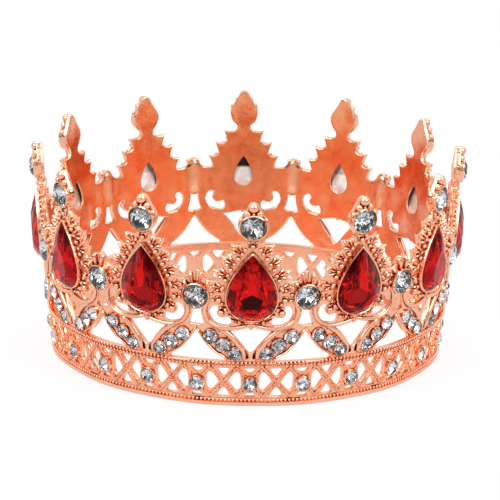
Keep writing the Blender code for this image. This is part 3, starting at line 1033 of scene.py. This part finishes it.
def band_strip(metal, band):
    """A quarter of the band, flat: two rails, the lattice, its settings and its beading."""
    strip = Strip()
    low, high = -7 * CELL, 5 * CELL
    line = [(low + (high - low) * i / 72, 0.0) for i in range(73)]
    for rail in (LOWER_RAIL, UPPER_RAIL):
        strip.add_swept(line, [(-z, t) for z, t in rail])
    strip.add_mesh(band_plate(low, high))

    seat = stone_seat()
    mesh = bpy.data.meshes.new("seat")
    points = [(u + low + CELL, z + BAND_STONE_HEIGHT, t) for u, z, t in seat.points]
    mesh.from_pydata(flat_places(points), [], seat.faces)
    values = {"Count": QUARTER_STONES, "Step": (2 * CELL * MM, 0, 0), "Material": metal}
    strip.add_mesh(grown(link("seat", mesh), tree_named("cells_along_strip", repeat_tree), values))

    bead = bead_shape("bead", 2, band.bead)
    grain = bead_shape("grain", 1, band.grain)

    def add_row(places, t, shape, spacing, least, seed):
        values = {"Bead": shape, "Spacing": spacing, "Least Size": least, "Seed": seed, "Material": metal}
        strip.add_mesh(grown(line_host("row", places, t), tree_named("bead_row", row_tree), values))

    for number, (height, t) in enumerate(RAIL_BEADS):
        add_row([(low, height), (high, height)], t, bead, band.bead_spacing, 0.8, number)
    for number, bar in lattice_bars(low):
        strip.add_swept(bar, half_round(0.85, -0.15, 0.26, 4))
        for aside in (-GRAIN_ASIDE, GRAIN_ASIDE):
            add_row([(u + aside, z) for u, z in bar], GRAIN_FACE, grain, GRAIN_SPACING, 0.6, 10 + number)
    for shape in (bead, grain):
        bpy.data.objects.remove(shape)
    return strip


def cut_stone(outline, eye, depths, foot, tones, seed):
    """A cut stone about its middle, in metres, -Y outwards: a faceted crown over a faceted, foil backed base.

    The painted shades are the brightness of the foil, a painted shade standing for dark reflections in the
    facets: choices near the foot, choices near the girdle, the foot's own, and the upper back's.
    """
    table_t, middle_t, girdle_t, lower_t, foot_t = depths
    count = len(outline)
    half = count // 2
    middle_share = (TABLE_SHARE + 1) / 2 * 1.02

    def drawn_in(places, share, t):
        return [(eye[0] + (u - eye[0]) * share, eye[1] + (z - eye[1]) * share, t) for u, z in places]

    rows = [
        drawn_in(outline[::2], TABLE_SHARE, table_t),
        drawn_in(outline[1::2], middle_share, middle_t),
        drawn_in(outline, 1.0, girdle_t),
        drawn_in(outline, 1.0, girdle_t - GIRDLE),
        drawn_in(outline[1::2], LOWER_SHARE, lower_t),
        [(eye[0] + u, eye[1] + z, foot_t) for u, z in foot],
    ]
    points, starts = [], []
    for row in rows:
        starts.append(len(points))
        points += row
    top, mid, gird, under, low, bottom = starts
    crown, base = [tuple(top + i for i in range(half))], []
    for i in range(half):
        after, before = (i + 1) % half, (i - 1) % half
        crown.append((top + i, mid + i, top + after))
        crown.append((top + i, mid + before, gird + 2 * i, mid + i))
        crown.append((mid + i, gird + 2 * i, gird + 2 * i + 1))
        crown.append((mid + i, gird + 2 * i + 1, gird + (2 * i + 2) % count))
        base.append((bottom + i, bottom + after, low + i))
        base.append((bottom + i, low + i, low + before))
        base.append((low + before, low + i, under + 2 * i))
        base.append((low + i, under + 2 * i + 1, under + 2 * i))
        base.append((low + i, under + (2 * i + 2) % count, under + 2 * i + 1))
    for i in range(count):
        j = (i + 1) % count
        crown.append((gird + i, gird + j, under + j, under + i))
    base.append(tuple(bottom + i for i in range(half)))
    mesh = bpy.data.meshes.new("cut_stone")
    mesh.from_pydata(flat_places(points), [], crown + base)
    chance = random.Random(seed)
    inner_painted_shades, outer_painted_shades, painted_foot_shade, back_tone = tones
    # Painted shade: the base facets' foil is darkened by chosen shares, for the dark reflections a cut stone
    # shows.
    painted_facet_shades = [1.0] * len(crown)
    for _ in range(half):
        painted_facet_shades += [chance.choice(inner_painted_shades) for _ in range(2)]
        painted_facet_shades += [chance.choice(outer_painted_shades) for _ in range(3)]
    painted_facet_shades.append(painted_foot_shade)
    backed = [i >= len(crown) for i in range(len(painted_facet_shades))]
    mark(mesh, "tone", "FLOAT", "FACE", painted_facet_shades)
    mark(mesh, "back_tone", "FLOAT", "FACE", [back_tone] * len(painted_facet_shades))
    mark(mesh, "foil", "BOOLEAN", "FACE", backed)
    for polygon in mesh.polygons:
        polygon.material_index = int(backed[polygon.index])
    with edited(mesh) as work:
        bmesh.ops.recalc_face_normals(work, faces=work.faces)
    return mesh


def pentagon_points(width, height, count):
    """Points at even turns around a pentagon with its corner upwards, clockwise from the corner."""
    turns = [2 * math.pi * k / 5 for k in range(5)]
    corners = [Vector((width * math.sin(turn), height * math.cos(turn))) for turn in turns]
    points = []
    for i in range(count):
        share = 5 * i / count
        k = int(share)
        place = corners[k].lerp(corners[(k + 1) % 5], share - k)
        points.append((place.x, place.y))
    return points


def joined(name, meshes, materials):
    """One flat shaded mesh from several, with the materials."""
    whole = bpy.data.meshes.new(name)
    work = bmesh.new()
    for mesh in meshes:
        work.from_mesh(mesh)
        bpy.data.meshes.remove(mesh)
    work.to_mesh(whole)
    work.free()
    for material in materials:
        whole.materials.append(material)
    whole.shade_flat()
    return whole


def finished(name, mesh, nodes):
    """Puts the finished mesh on the crown in place of the plain nodes."""
    piece = link(name, mesh)
    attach(piece, "root")
    if nodes:
        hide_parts(*nodes)
    return piece


def turned(number, count):
    """The turn about the crown's axis to a unit by its number, out of the count."""
    return Matrix.Rotation(2 * math.pi * number / count, 4, "Z")


def ring_of_castings(unit, name, node, count):
    """Copies a casting around the crown, each in place of its plain node, and drops the first one."""
    for i in range(count):
        mesh = unit.copy()
        mesh.name = name.format(i + 1)
        mesh.transform(turned(i, count))
        finished(mesh.name, mesh, [node.format(i + 1)])
    bpy.data.meshes.remove(unit)


def stones_around(name, unit_meshes, materials, nodes):
    """Joins the stones of one unit, copies them around the crown and finishes them as one piece."""
    host = link(name, joined(name, unit_meshes, materials))
    values = {"Count": CRESTS, "Turn": 2 * math.pi / CRESTS, "Glass": materials[0], "Foil": materials[1]}
    mesh = grown(host, tree_named("units_around_axis", ring_tree), values)
    mesh.name = name
    mesh.shade_flat()
    return finished(name, mesh, nodes)


def nodes_named(start):
    return sorted(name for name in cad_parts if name.startswith(start))


def new_material(name):
    """A material with its tree and its shader."""
    material = bpy.data.materials.new(name)
    material.use_nodes = True
    return material, material.node_tree, material.node_tree.nodes["Principled BSDF"]


def object_place(tree):
    return add_node(tree, "ShaderNodeTexCoord").outputs["Object"]


def marked_value(tree, name):
    """What the mesh's attribute of that name says."""
    return add_node(tree, "ShaderNodeAttribute", attribute_name=name).outputs["Fac"]


def noise(tree, place, scale, detail, roughness=0.5):
    """The strength of a cloudy pattern."""
    values = {"Vector": place, "Scale": scale, "Detail": detail, "Roughness": roughness}
    return add_node(tree, "ShaderNodeTexNoise", values).outputs["Fac"]


def ranged(tree, value, low, high, to_low, to_high, **settings):
    """A value between low and high, carried over to the range from to_low to to_high."""
    values = {"Value": value, "From Min": low, "From Max": high, "To Min": to_low, "To Max": to_high}
    return add_node(tree, "ShaderNodeMapRange", values, **settings).outputs["Result"]


def ramp(tree, value, stops):
    """The colour at the value, between stops of (position, colour)."""
    node = add_node(tree, "ShaderNodeValToRGB", {"Fac": value})
    elements = node.color_ramp.elements
    for element, (position, colour) in zip(elements, (stops[0], stops[-1])):
        element.position = position
        element.color = (*colour, 1)
    for position, colour in stops[1:-1]:
        elements.new(position).color = (*colour, 1)
    return node.outputs["Color"]


def blended(tree, share, first, second, way="MIX"):
    """The first colour with a share of the second."""
    values = {"Factor": share, 6: first, 7: second}
    return add_node(tree, "ShaderNodeMix", values, data_type="RGBA", blend_type=way).outputs[2]


def one_or_other(tree, share, first, second):
    """The first number with a share of the second."""
    return add_node(tree, "ShaderNodeMix", {"Factor": share, "A": first, "B": second}).outputs["Result"]


def blended_shaders(tree, share, first, second):
    return add_node(tree, "ShaderNodeMixShader", {"Fac": share, 1: first, 2: second}).outputs["Shader"]


def rose_gold(name, metal, painted_recess_colour, clear, inside_reflection_share, bump, coarse):
    """Polished plating over cast metal: a fine grain, slight waves and uneven polish.

    The recesses have the painted recess colour, a painted shade and reflection, and, where they are deepest, the
    painted shade; from an openness of clear the plating has its own.  The inside reflection share is the share
    of the inside colour, a painted reflection, on the inner side; the fold gets a painted highlight.
    """
    material, tree, shader = new_material(name)
    place = object_place(tree)
    fine = noise(tree, place, 1.0 / metal.grain, 3.0, 0.6)
    broad = noise(tree, place, coarse / metal.grain, 2.0)
    openness = marked_value(tree, "openness")
    inside = marked_value(tree, "inside")
    satin = marked_value(tree, "satin")

    # Painted shade: by openness the plating goes to the painted recess colour and, deepest in, to the darkest
    # shade.
    stops = [(0.1, metal.shade)]
    for position, share in ((0.4, 0.0), (0.68, 0.65)):
        stops.append((position * clear, [h + (c - h) * share for h, c in zip(painted_recess_colour, metal.colour)]))
    outer = ramp(tree, openness, [*stops, (clear, metal.colour)])
    # Painted reflection on the inner side: a patchy deeper orange for the walls mirrored in one another.
    drift = noise(tree, place, 30.0, 0.0, 0.4)
    inner = ramp(tree, drift, [(0.36, metal.inside), (0.62, VIVID_INSIDE_REFLECTION)])
    both = blended(tree, calculated(tree, "MULTIPLY", inside, inside_reflection_share), outer, inner)
    # Painted highlight: the fold inside each valley is made paler, as if it caught the light.
    with_fold_highlight = blended(tree, satin, both, (*PAINTED_FOLD_HIGHLIGHT, 1))
    warmth = ramp(tree, broad, [(0.35, WARM_PATCHES), (0.62, (1.0, 1.0, 1.0))])
    colour = blended(tree, 0.3, with_fold_highlight, warmth, "MULTIPLY")

    polish = ranged(tree, broad, 0.3, 0.7, metal.roughness * 0.75, metal.roughness * 1.5)
    buffed = calculated(tree, "MULTIPLY_ADD", inside, -0.25 * metal.roughness, polish)
    dulled = calculated(tree, "MULTIPLY_ADD", satin, 0.06, buffed)

    waves = {"Strength": 0.6, "Distance": 0.0004, "Height": noise(tree, place, 110.0, 1.0)}
    wavy = add_node(tree, "ShaderNodeBump", waves).outputs["Normal"]
    grain = {"Strength": bump, "Distance": 0.0001, "Height": fine, "Normal": wavy}
    relief = add_node(tree, "ShaderNodeBump", grain).outputs["Normal"]
    set_inputs(shader, {"Metallic": 1.0, "Base Color": colour, "Roughness": dulled, "Normal": relief})
    return material


def cut_glass(name, colour, index, reflection):
    """Clear or coloured stone glass, with faint streaks inside that change its colour a little."""
    material, tree, shader = new_material(name)
    cloud = noise(tree, object_place(tree), 260.0, 2.0)
    streaks = ramp(tree, cloud, [(0.3, [0.86 * c for c in colour]), (0.6, colour)])
    set_inputs(shader, {"Base Color": streaks, "Roughness": 0.0, "IOR": index, "Transmission Weight": 1.0})
    set_inputs(shader, {"Specular Tint": (*reflection, 1)})
    return material


def stone_foil(name, colour, cool, mirror):
    """The mirror foil on the back of a stone: cooler in places, and darker on some facets than on others, a
    painted shade.

    Through the stone it shows the facets' painted shade.  From behind it is dull, and has the back's painted
    shade above FOIL_STEP.
    """
    material, tree, shader = new_material(name)
    place = object_place(tree)
    cloud = noise(tree, place, 700.0, 2.0)
    sheen = ramp(tree, cloud, [(0.3, cool), (0.6, colour)])
    height = add_node(tree, "ShaderNodeSeparateXYZ", {"Vector": place}).outputs["Z"]
    # Painted shade on the foil's upper back, seen through the window from inside the crown.
    behind = ranged(tree, height, *FOIL_STEP, 1.0, marked_value(tree, "back_tone"))
    through = add_node(tree, "ShaderNodeNewGeometry").outputs["Backfacing"]
    tone = one_or_other(tree, through, behind, marked_value(tree, "tone"))
    foil_with_painted_shade = add_node(tree, "ShaderNodeVectorMath", {"Vector": sheen, "Scale": tone}, operation="SCALE")
    dulled = one_or_other(tree, through, 0.4, ranged(tree, cloud, 0.0, 1.0, 0.02, 0.1))
    set_inputs(shader, {"Metallic": mirror, "Base Color": foil_with_painted_shade.outputs["Vector"], "Roughness": dulled})
    return material


class OBJECT_OT_crown_band(bpy.types.Operator):
    """Builds the four quarters of the pierced band"""

    bl_idname = "object.crown_band"
    bl_label = "Band"

    def execute(self, context):
        plating = context.scene.crown_metal
        # The band's recesses get a painted orange reflection, and its inner side a quarter of the inside's
        # painted reflection.
        metal = rose_gold("rose_gold_band", plating, plating.painted_band_recess_reflection, 0.99, 0.25, 0.35, 0.35)
        unit = band_strip(metal, context.scene.crown_band).rolled_mesh("band_quarter", metal)
        ring_of_castings(unit, "pierced_band_{}", "band_quarter_{}", QUARTERS)
        return {"FINISHED"}


class OBJECT_OT_crown_crests(bpy.types.Operator):
    """Builds the twelve crest castings"""

    bl_idname = "object.crown_crests"
    bl_label = "Crests"

    def execute(self, context):
        plating = context.scene.crown_metal
        # The crests' recesses get a painted brown shade, and their inner side the inside's full painted
        # reflection.
        metal = rose_gold("rose_gold_crest", plating, plating.painted_crest_recess_shade, 0.86, 1.0, 0.22, 0.3)
        unit = crest_strip(metal).rolled_mesh("crest_casting", metal)
        ring_of_castings(unit, "crest_casting_{:02d}", "crest_{:02d}", CRESTS)
        return {"FINISHED"}


class OBJECT_OT_crown_pear_stones(bpy.types.Operator):
    """Cuts the twelve red pear stones"""

    bl_idname = "object.crown_pear_stones"
    bl_label = "Pear stones"

    def execute(self, context):
        stones = context.scene.crown_stones
        outline = teardrop(stones.pear_width / MM, stones.pear_length / MM, 20)
        foot = pentagon_points(*PEAR_FOOT, 10)
        glass = cut_glass("red_glass", stones.red, 1.5, (0.8, 0.16, 0.18))
        foil = stone_foil("red_stone_foil", stones.foil, (0.78, 0.77, 0.78), 0.88)
        meshes = []
        for i in range(CRESTS):
            # Painted shade: the front stone's foot is painted nearly black and the back middle stone's upper
            # back nearly black, for dark reflections; the others' upper backs are dimmed.
            painted_foot_shade = 0.5 if i else 0.012
            back_tone = 0.03 if i == CRESTS // 2 else 0.6
            tones = ((0.6, 1.0, 1.0, 1.0), (0.45, 0.9, 1.0, 1.0), painted_foot_shade, back_tone)
            mesh = cut_stone(outline, PEAR_EYE, PEAR_DEPTHS, foot, tones, 20 + i)
            mesh.transform(turned(i, CRESTS) @ on_wall(0, PEAR_HEIGHT))
            meshes.append(mesh)
        mesh = joined("pear_stones", meshes, [glass, foil])
        finished("pear_stones", mesh, nodes_named("pear_stone"))
        return {"FINISHED"}


class OBJECT_OT_crown_round_stones(bpy.types.Operator):
    """Cuts the round clear stones of the finials, the valleys, the leaves and the band"""

    bl_idname = "object.crown_round_stones"
    bl_label = "Round stones"

    def execute(self, context):
        stones = context.scene.crown_stones
        glass = cut_glass("clear_glass", (0.97, 0.98, 0.99), 1.6, (1, 1, 1))
        foil = stone_foil("clear_stone_foil", stones.foil, (0.86, 0.90, 0.94), 1.0)
        for name, (places, size, depths, dark, dim) in ROUND_STONES.items():
            radius = getattr(stones, size) / MM
            meshes = []
            for number, (u, z) in enumerate(places):
                # Painted shade: dark and dim darken some facets near the foot and the girdle, and the foot is
                # painted half as bright.
                tones = ((dark, 1.0, 1.0, 1.0), (dark, dim, 1.0, 1.0), 0.5, 1.0)
                foot = circle(0.12 * radius, 8)
                mesh = cut_stone(circle(radius, 16), (0, 0), depths, foot, tones, number + 5)
                mesh.transform(Matrix.Rotation(0.35 * number, 4, "Y"))
                mesh.transform(on_wall(u, z))
                meshes.append(mesh)
            stones_around(name, meshes, [glass, foil], nodes_named(name[:-1]))
        return {"FINISHED"}


class SCENE_OT_crown_stage(bpy.types.Operator):
    """Lays the floor, hangs the softboxes and sets the camera"""

    bl_idname = "scene.crown_stage"
    bl_label = "Stage"

    def execute(self, context):
        stage = context.scene.crown_stage
        self.lay_floor(stage)
        self.light_world(context.scene)
        for name, place, size, share in SOFTBOXES:
            self.hang_softbox(name, Vector(place), size, stage.key * share)
        self.set_camera(context.scene, stage)
        context.scene.view_settings.view_transform = "Standard"
        return {"FINISHED"}

    def lay_floor(self, stage):
        """A round floor that is white to the camera and in mirrors, and takes a faint shadow near the crown."""
        mesh = bpy.data.meshes.new("floor")
        with edited(mesh) as work:
            bmesh.ops.create_circle(work, cap_ends=True, segments=96, radius=4.0)
        floor = link("floor", mesh)
        material, tree, shader = new_material("pale_floor")
        set_inputs(shader, {"Base Color": (*stage.floor, 1), "Roughness": 0.9, "Specular IOR Level": 0.1})
        reach = add_node(tree, "ShaderNodeVectorMath", {0: object_place(tree)}, operation="LENGTH")
        fade = ranged(tree, reach.outputs["Value"], 0.06, 0.17, 0.85, 1.0, interpolation_type="SMOOTHSTEP")
        rays = add_node(tree, "ShaderNodeLightPath").outputs
        level = calculated(tree, "MULTIPLY_ADD", rays["Is Glossy Ray"], -0.14, 1.0)
        white = add_node(tree, "ShaderNodeEmission", {"Strength": level}).outputs["Emission"]
        seen = calculated(tree, "ADD", rays["Is Camera Ray"], rays["Is Glossy Ray"])
        seen = calculated(tree, "ADD", seen, rays["Is Transmission Ray"], use_clamp=True)
        share = calculated(tree, "MULTIPLY", seen, fade)
        surface = blended_shaders(tree, share, shader.outputs["BSDF"], white)
        set_inputs(tree.nodes["Material Output"], {"Surface": surface})
        mesh.materials.append(material)

    def light_world(self, scene):
        """White to the camera; to the metal and the stones a pale tent with a dark gap low in front."""
        world = bpy.data.worlds.new("studio")
        world.use_nodes = True
        tree = world.node_tree
        soft = set_inputs(tree.nodes["Background"], {"Color": WHITE, "Strength": 0.55})
        place = add_node(tree, "ShaderNodeTexCoord").outputs["Generated"]
        ways = add_node(tree, "ShaderNodeSeparateXYZ", {"Vector": place}).outputs
        front = ramp(tree, ways["Z"], [(position, [level] * 3) for position, level in TENT_LEVELS])
        walls = blended(tree, ranged(tree, ways["Y"], -0.1, 0.4, 0.0, 1.0), front, TENT_BACK)
        room = add_node(tree, "ShaderNodeBackground", {"Color": walls, "Strength": 2.0})
        camera = add_node(tree, "ShaderNodeBackground", {"Color": WHITE})
        rays = add_node(tree, "ShaderNodeLightPath").outputs
        shiny = calculated(tree, "MAXIMUM", rays["Is Glossy Ray"], rays["Is Transmission Ray"])
        lit = blended_shaders(tree, shiny, soft.outputs["Background"], room.outputs["Background"])
        surface = blended_shaders(tree, rays["Is Camera Ray"], lit, camera.outputs["Background"])
        set_inputs(tree.nodes["World Output"], {"Surface": surface})
        scene.world = world

    def hang_softbox(self, name, place, size, power):
        lamp = bpy.data.lights.new(name, "AREA")
        lamp.shape = "RECTANGLE"
        lamp.size, lamp.size_y = size
        lamp.energy = power
        item = link(name, lamp)
        item.location = place
        item.rotation_euler = (Vector(LAMP_AIM) - place).to_track_quat("-Z", "Y").to_euler()

    def set_camera(self, scene, stage):
        """The camera looks down at the crown from in front, turned and rolled a little."""
        lens = bpy.data.cameras.new("camera")
        lens.sensor_width = 36
        lens.lens = stage.lens
        lens.clip_end = 20
        camera = link("camera", lens)
        raised = math.radians(CAMERA_RAISED)
        back = Vector((0, -math.cos(raised), math.sin(raised)))
        upright = Matrix.Rotation(math.pi / 2 - raised, 4, "X")
        roll = Matrix.Rotation(math.radians(CAMERA_ROLL), 4, "Z")
        side = Matrix.Rotation(math.radians(CAMERA_TURN), 4, "Z")
        place = Matrix.Translation(Vector(CAMERA_AIM) + back * stage.distance)
        camera.matrix_world = side @ place @ upright @ roll
        scene.camera = camera


class VIEW3D_PT_crown(bpy.types.Panel):
    """Lists the crown's pieces and sizes"""

    bl_idname = "VIEW3D_PT_crown"
    bl_label = "Crown"
    bl_space_type = "VIEW_3D"
    bl_region_type = "UI"
    bl_category = "Crown"

    def draw(self, context):
        for group in GROUPS:
            box = self.layout.box()
            box.label(text=group.__doc__)
            settings = getattr(context.scene, GROUPS[group])
            for name in settings.bl_rna.properties.keys():
                if name not in ("rna_type", "name"):
                    box.prop(settings, name)
        for operator in OPERATORS:
            self.layout.operator(operator.bl_idname)


GROUPS = {
    CrownMetal: "crown_metal",
    CrownBand: "crown_band",
    CrownStones: "crown_stones",
    CrownStage: "crown_stage",
}
OPERATORS = (
    OBJECT_OT_crown_band,
    OBJECT_OT_crown_crests,
    OBJECT_OT_crown_pear_stones,
    OBJECT_OT_crown_round_stones,
    SCENE_OT_crown_stage,
)


def register():
    for group, name in GROUPS.items():
        bpy.utils.register_class(group)
        setattr(bpy.types.Scene, name, bpy.props.PointerProperty(type=group))
    for item in (*OPERATORS, VIEW3D_PT_crown):
        bpy.utils.register_class(item)


def unregister():
    for item in (VIEW3D_PT_crown, *reversed(OPERATORS)):
        bpy.utils.unregister_class(item)
    for group, name in GROUPS.items():
        delattr(bpy.types.Scene, name)
        bpy.utils.unregister_class(group)


def main():
    register()
    bpy.ops.object.crown_band()
    bpy.ops.object.crown_crests()
    bpy.ops.object.crown_pear_stones()
    bpy.ops.object.crown_round_stones()
    bpy.ops.scene.crown_stage()
    bpy.context.view_layer.update()


if __name__ == "__main__":
    main()
